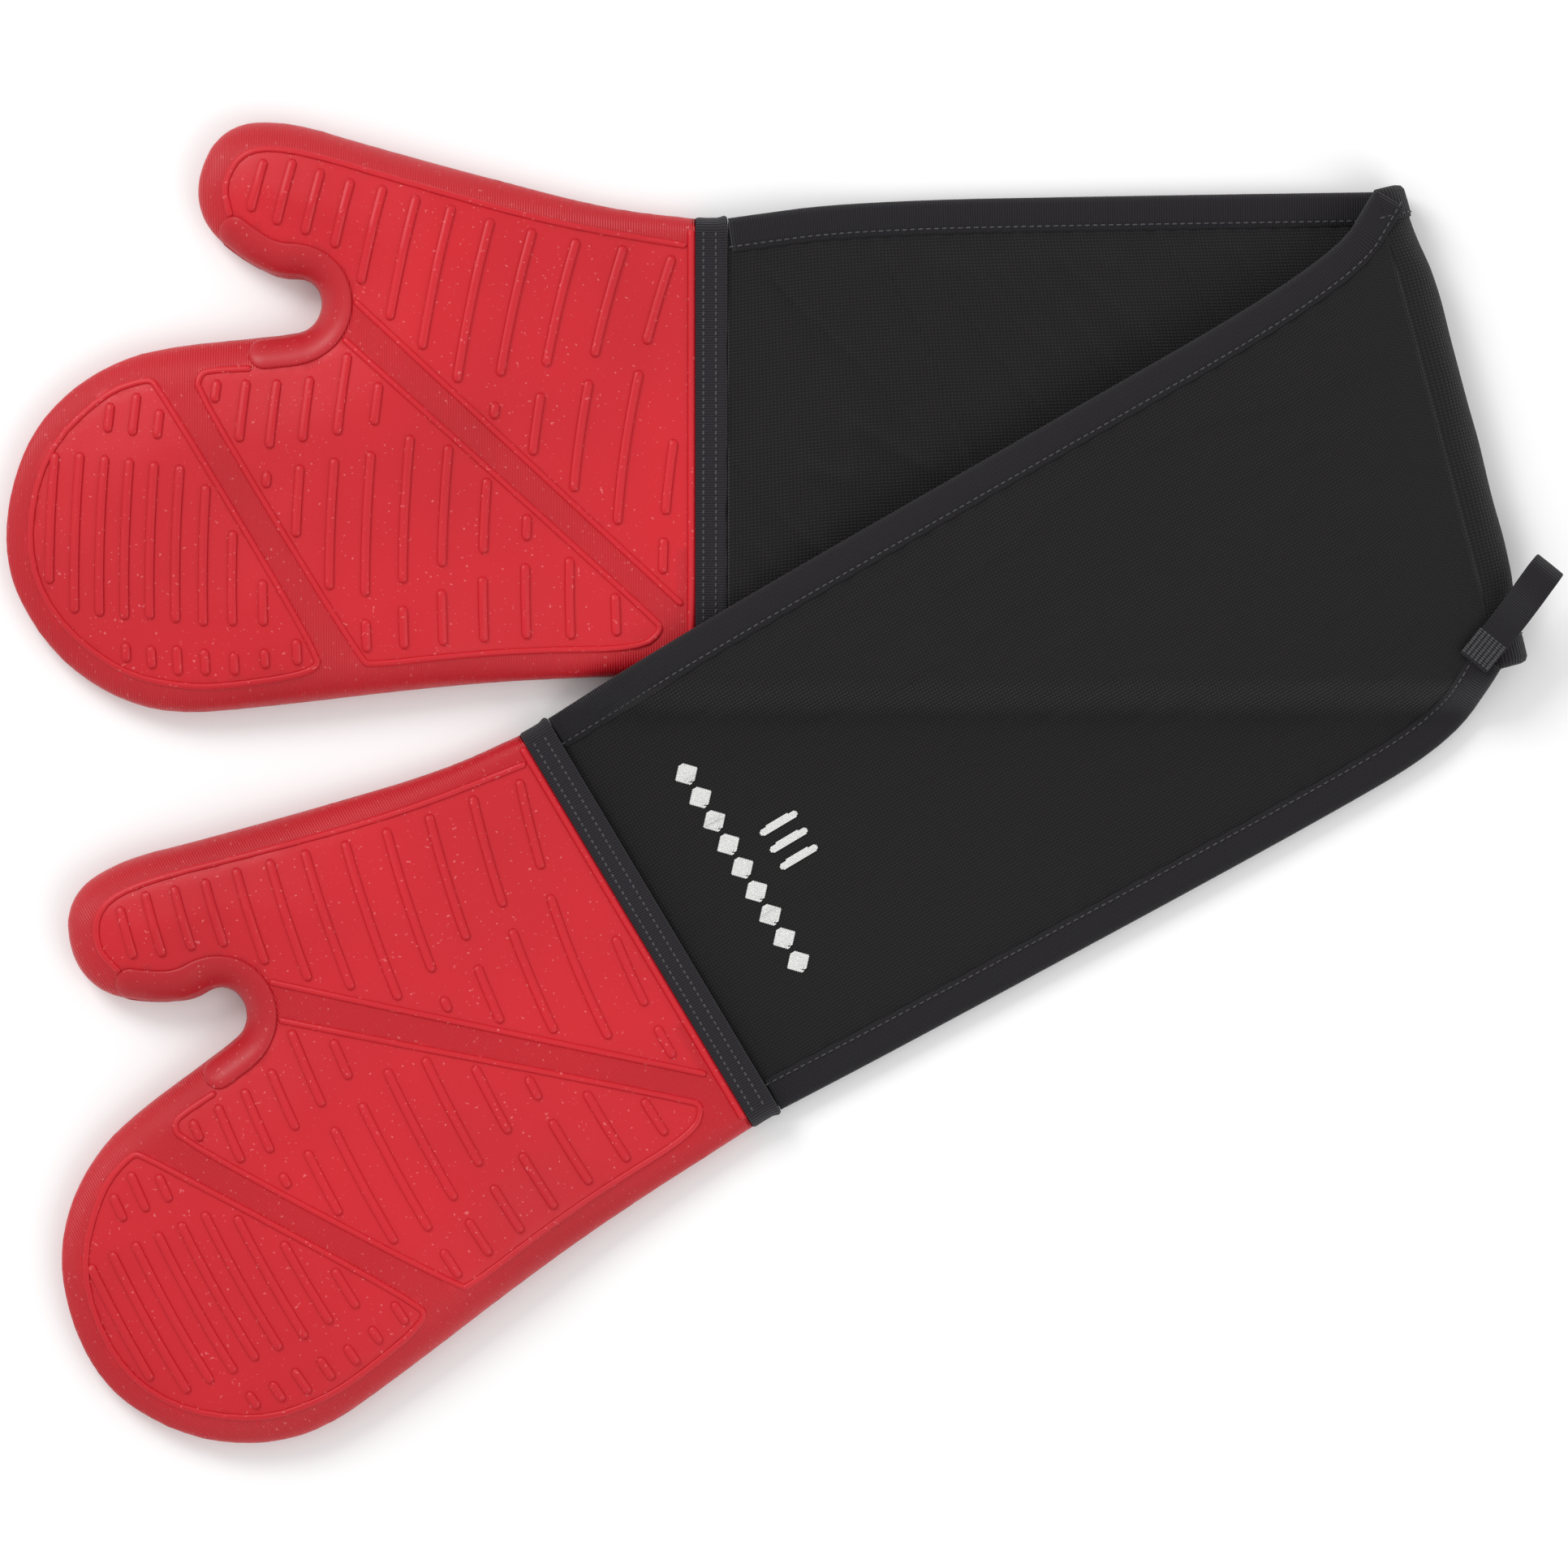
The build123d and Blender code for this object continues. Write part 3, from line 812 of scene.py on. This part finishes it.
def arm_pad(arm, lift):
    """The padded canvas of one arm: crowned faces that pull in towards the edge tapes."""
    thumb, loop = EDGES[arm]
    rows, columns = 150, 84
    side_a = resample(thumb, 1.0)
    side_a = np.stack([np.interp(np.linspace(0, 1, rows), np.linspace(0, 1, len(side_a)), side_a[:, k])
                       for k in range(3)], 1)
    side_b = np.stack([np.interp(np.linspace(0, 1, rows), np.linspace(0, 1, len(loop)), loop[:, k])
                       for k in range(3)], 1)
    inset = 1.2
    verts, faces, uvs = [], [], []
    for up in (True, False):
        for i in range(rows):
            width = np.linalg.norm(side_b[i] - side_a[i])
            for j in range(columns):
                t = inset / width + (1 - 2 * inset / width) * j / (columns - 1)
                p = side_a[i] * (1 - t) + side_b[i] * t
                edge = min(t, 1 - t) * width
                base = lift(p) + TAPE_OVERALL / 2
                puff = float(smooth((edge - 8) / 14))
                pucker = 0.25 * math.sin(i * 1.35) * math.exp(-((edge - 12) / 5) ** 2)
                height = BAND_PAD / 2 + 0.9 * puff + pucker
                z = base + height + wrinkle(p, arm) * puff if up else base - BAND_PAD / 2
                verts.append(np.array([p[0], p[1], max(z, 0.3)]))
                uvs.append((i / (rows - 1) * np.linalg.norm(side_a[-1] - side_a[0]) / 10, t * width / 10))
    size = rows * columns
    for up in (0, 1):
        for i in range(rows - 1):
            for j in range(columns - 1):
                a = up * size + i * columns + j
                face = (a, a + 1, a + columns + 1, a + columns)
                faces.append(face if up else face[::-1])
    rim = [i * columns for i in range(rows)] + [(rows - 1) * columns + j for j in range(1, columns)]
    rim += [i * columns + columns - 1 for i in range(rows - 2, -1, -1)]
    rim += list(range(columns - 2, 0, -1))
    for a, b in zip(rim, rim[1:] + rim[:1]):
        faces.append((a, b, b + size, a + size))
    return outward(make_piece(arm + "_canvas", verts, faces, CANVAS, uvs))


TAPE_SECTION = [
    (TAPE_WIDTH, 2.2), (TAPE_WIDTH - 0.3, 3.2), (TAPE_WIDTH - 3, 3.35), (5, 3.3), (1.8, 3.2),
    (0.5, 2.4), (0, 0.9), (0, -0.9), (0.5, -2.4), (1.8, -3.2), (5, -3.3), (TAPE_WIDTH - 0.3, -3.2),
    (TAPE_WIDTH, -2.2),
]


def edge_frames(edge, other):
    """Flat sweep frames along an arm's edge: inwards and up. draped() adds the arm's rise."""
    frames = []
    for i, p in enumerate(edge):
        tangent = edge[min(i + 1, len(edge) - 1)] - edge[max(i - 1, 0)]
        tangent = tangent / np.linalg.norm(tangent)
        inward = np.array([-tangent[1], tangent[0], 0.0])
        middle = other[int(i / len(edge) * len(other))]
        if np.dot(inward, middle - p) < 0:
            inward = -inward
        wobble = 0.18 * noise.noise(Vector((i * 0.4, 0, 5)))
        place = p + np.array([0, 0, TAPE_OVERALL / 2 + wobble])
        frames.append((place, inward, np.array([0, 0, 1.0])))
    return frames


def draped(place, lift, low):
    """A place raised by its arm's own rise there, and kept over the table."""
    return rested(place + np.array([0, 0, lift(place)]), low)


def make_arm(arm, lift):
    """One arm of the band: padded canvas, two edge tapes and their stitches."""
    pad = arm_pad(arm, lift)
    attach(pad, arm)
    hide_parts(f"{arm}_outer_canvas", f"{arm}_inner_canvas", f"{arm}_wadding")
    rows = []
    thumb, loop = EDGES[arm]
    for side, edge, other in (("thumb_side", thumb, loop), ("loop_side", loop, thumb)):
        frames = edge_frames(edge, other)
        tape = sweep(f"{arm}_tape_{side}", frames, TAPE_SECTION, TAPE)
        for vert in tape.data.vertices:
            vert.co = Vector(draped(np.array(vert.co) / MM, lift, 0.0) * MM)
        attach(tape, arm)
        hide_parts(f"{arm}_binding_{side}")
        for up in (3.5, -3.35):
            rows.append([draped(p + a * (TAPE_WIDTH - 1.6) + b * up, lift, STITCH_LOW) for p, a, b in frames])
    stitches = stitch_rows(f"{arm}_edge_stitches", rows, THREAD, 2.4, 1.7, 0.5)
    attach(stitches, arm)


def roll_frames(start_along, steps=28):
    """Frames round the fold, from the under arm to the over arm."""
    frames = []
    for k in range(steps + 1):
        a = math.radians(-90 + 180 * k / steps)
        out = FOLD_OUT * math.cos(a) + np.array([0, 0, math.sin(a)])
        centre = FOLD_FLAT + FOLD_AXIS * start_along + np.array([0, 0, FOLD_RADIUS])
        frames.append((centre + out * (FOLD_RADIUS - TAPE_OVERALL / 2), out))
    return frames


def make_fold():
    """The rolled fold: padded canvas with its bulge, and the tapes that go round its ends."""
    steps, columns = 28, 90
    verts, faces, uvs = [], [], []
    for outer in (True, False):
        for k in range(steps + 1):
            a = math.radians(-90 + 180 * k / steps)
            for j in range(columns):
                t = 1.2 + (FOLD_LENGTH - 2.4) * j / (columns - 1)
                edge = min(t, FOLD_LENGTH - t)
                puff = float(smooth((edge - 8) / 20))
                bulge = 1.9 * puff * math.cos(a) * float(smooth(math.sin(math.pi * t / FOLD_LENGTH) * 1.3))
                soft = 0.5 * noise.noise(Vector((t * 0.05, a, 2.0))) * puff * math.cos(a)
                radius = FOLD_RADIUS - 0.8 + 0.9 * puff * (1 if outer else 0)
                radius = radius + bulge + soft if outer else FOLD_RADIUS - 0.8 - BAND_PAD
                out = FOLD_OUT * math.cos(a) + np.array([0, 0, math.sin(a)])
                centre = FOLD_FLAT + FOLD_AXIS * t + np.array([0, 0, FOLD_RADIUS])
                verts.append(rested(centre + out * radius, FOLD_LOW))
                uvs.append((radius * a / 10, t / 10))
    size = (steps + 1) * columns
    for side in (0, 1):
        for k in range(steps):
            for j in range(columns - 1):
                a = side * size + k * columns + j
                face = (a, a + 1, a + columns + 1, a + columns)
                faces.append(face if side else face[::-1])
    rim = [k * columns for k in range(steps + 1)] + [steps * columns + j for j in range(1, columns)]
    rim += [k * columns + columns - 1 for k in range(steps - 1, -1, -1)]
    rim += list(range(columns - 2, 0, -1))
    for a, b in zip(rim, rim[1:] + rim[:1]):
        faces.append((a, b, b + size, a + size))
    pad = outward(make_piece("fold_canvas", verts, faces, CANVAS, uvs))
    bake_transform(pad)
    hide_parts("fold_outer_canvas", "fold_inner_canvas", "fold_wadding")
    rows = []
    for side, start, inward in (("loop_side", 0.0, 1), ("thumb_side", FOLD_LENGTH, -1)):
        frames = [(p, FOLD_AXIS * inward, out) for p, out in roll_frames(start)]
        tape = sweep(f"fold_tape_{side}", frames, TAPE_SECTION, TAPE)
        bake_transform(tape)
        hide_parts(f"fold_binding_{side}")
        rows.append([rested(p + a * (TAPE_WIDTH - 1.6) + b * 3.5, STITCH_LOW) for p, a, b in frames])
    stitches = stitch_rows("fold_edge_stitches", rows, THREAD, 2.4, 1.7, 0.5)
    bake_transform(stitches)


# ---------------------------------------------------------------- loop, tack and emblem
def make_loop():
    """Doubled hanging tape that opens into an eye, and the bar tacks at its root."""
    joint = JOINTS["loop_swing"]
    axis = np.array(joint["axis"])
    along = np.array([-axis[1], axis[0], 0.0])
    root = np.array(joint["pos_m"]) / MM
    tape, eye_length, eye_height, length = 1.2, 18.0, 7.6, 38.0
    centre = length - tape - eye_length / 2
    radius = (eye_height + tape) / 2
    flat = [(0, -tape / 2), (centre - eye_length / 2, -tape / 2)]
    turn = centre + eye_length / 2 - radius + tape / 2
    flat += [(turn + radius * math.sin(math.radians(a)),
              radius - tape / 2 - radius * math.cos(math.radians(a)))
             for a in range(0, 181, 12)]
    flat += [(centre - eye_length / 2 + 9, 2 * radius - tape / 2 - 0.4), (centre - eye_length / 2 + 3, 4.5),
             (centre - eye_length / 2 - 3, 1.5), (centre - eye_length / 2 - 8, tape / 2), (0, tape / 2)]
    path = resample(chaikin(flat, 2), 1.0)
    frames = []
    for i, (s, h) in enumerate(path):
        t = path[min(i + 1, len(path) - 1)] - path[max(i - 1, 0)]
        t = t / np.linalg.norm(t)
        normal = along * -t[1] + np.array([0, 0, t[0]])
        twist = 0.5 * math.sin(s * 0.12)
        frames.append((root + along * s + axis * twist + np.array([0, 0, h]), axis, normal))
    section = [(-5.0, -0.35), (-4.6, -0.55), (0, -0.6), (4.6, -0.55), (5.0, -0.35), (5.0, 0.35),
               (4.6, 0.55), (0, 0.6), (-4.6, 0.55), (-5.0, 0.35)]
    loop = sweep("loop_tape", frames, section, TAPE)
    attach(loop, "loop")
    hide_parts("hanging_loop")
    rows = []
    for end in np.arange(1.2, 9.5, 0.75):
        rows.append([root + along * end + axis * w + np.array([0, 0, 1.32]) for w in (-4.4, 0, 4.4)])
    tacks = stitch_rows("loop_tacks", rows, THREAD, 1.3, 1.3, 0.6)
    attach(tacks, "loop")
    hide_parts("loop_bar_tack")


def make_emblem():
    """Generic embroidery in satin stitch: a row of diamonds along the cuff and three bars."""
    rows = []

    def filled(centre_u, centre_v, half_u, half_v, power):
        """Threads laid side by side that fill a diamond (power 1) or a rounded bar."""
        for v in np.arange(-half_v, half_v + 0.01, 0.42):
            reach = half_u * max(1 - (abs(v) / half_v) ** power, 0.0) ** (1 / power)
            if reach < 0.35:
                continue
            row = []
            for u in np.linspace(centre_u - reach, centre_u + reach, 5):
                p = OVER.at(-u, centre_v + v, 0)
                z = over_lift(p) + TAPE_OVERALL / 2 + BAND_PAD / 2 + 1.15 + wrinkle(p, "over_arm")
                row.append(np.array([p[0], p[1], z]))
            rows.append(row)

    for k in range(9):
        filled(37.5, (k - 4) * 75 / 9, 3.4, 3.6, 1.0)
    for k in range(3):
        filled(54, (k - 1) * 6, 6.0, 1.3, 3.0)
    threads = stitch_rows("emblem_threads", rows, WHITE_THREAD, 0.8, 1.3, 0.5)
    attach(threads, "over_arm")
    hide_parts("emblem")


# ---------------------------------------------------------------- camera, floor and light
def make_stage():
    """Camera straight above, a pale floor and soft light."""
    low, high = (Vector(corner) for corner in cad_box)
    centre = (low + high) / 2
    view_width = (high.x - low.x) * 1.012
    distance = 3.0
    camera_data = bpy.data.cameras.new("camera")
    camera_data.lens = camera_data.sensor_width * distance / view_width
    camera = bpy.data.objects.new("camera", camera_data)
    camera.location = (centre.x, centre.y, distance)
    bpy.context.scene.collection.objects.link(camera)
    bpy.context.scene.camera = camera
    floor_material, tree, shader = new_material("pale_floor", (0.93, 0.93, 0.93), 0.9)
    mesh = bpy.data.meshes.new("floor")
    s = 6.0
    corners = [(-s, -s, -0.0005), (s, -s, -0.0005), (s, s, -0.0005), (-s, s, -0.0005)]
    mesh.from_pydata(corners, [], [(0, 1, 2, 3)])
    mesh.materials.append(floor_material)
    floor = bpy.data.objects.new("floor", mesh)
    bpy.context.scene.collection.objects.link(floor)
    lamps = (("key", (-1.2, 1.4, 1.6), 1.0, 26), ("fill", (1.4, -1.0, 1.8), 1.6, 14))
    for name, place, size, energy in lamps:
        light_data = bpy.data.lights.new(name, "AREA")
        light_data.size = size
        light_data.energy = energy
        light = bpy.data.objects.new(name, light_data)
        light.location = centre + Vector(place)
        light.rotation_euler = (centre - light.location).to_track_quat("-Z", "Y").to_euler()
        bpy.context.scene.collection.objects.link(light)
    world = bpy.data.worlds.new("studio")
    world.use_nodes = True
    background = world.node_tree.nodes["Background"]
    background.inputs["Color"].default_value = (1, 1, 1, 1)
    background.inputs["Strength"].default_value = 0.75
    bpy.context.scene.world = world
    bpy.context.scene.view_settings.view_transform = "Standard"


make_stage()
make_mitt("under_mitt", "under_cuff_flex")
make_mitt("over_mitt", "over_cuff_flex")
make_arm("under_arm", under_lift)
make_arm("over_arm", over_lift)
make_fold()
make_loop()
make_emblem()
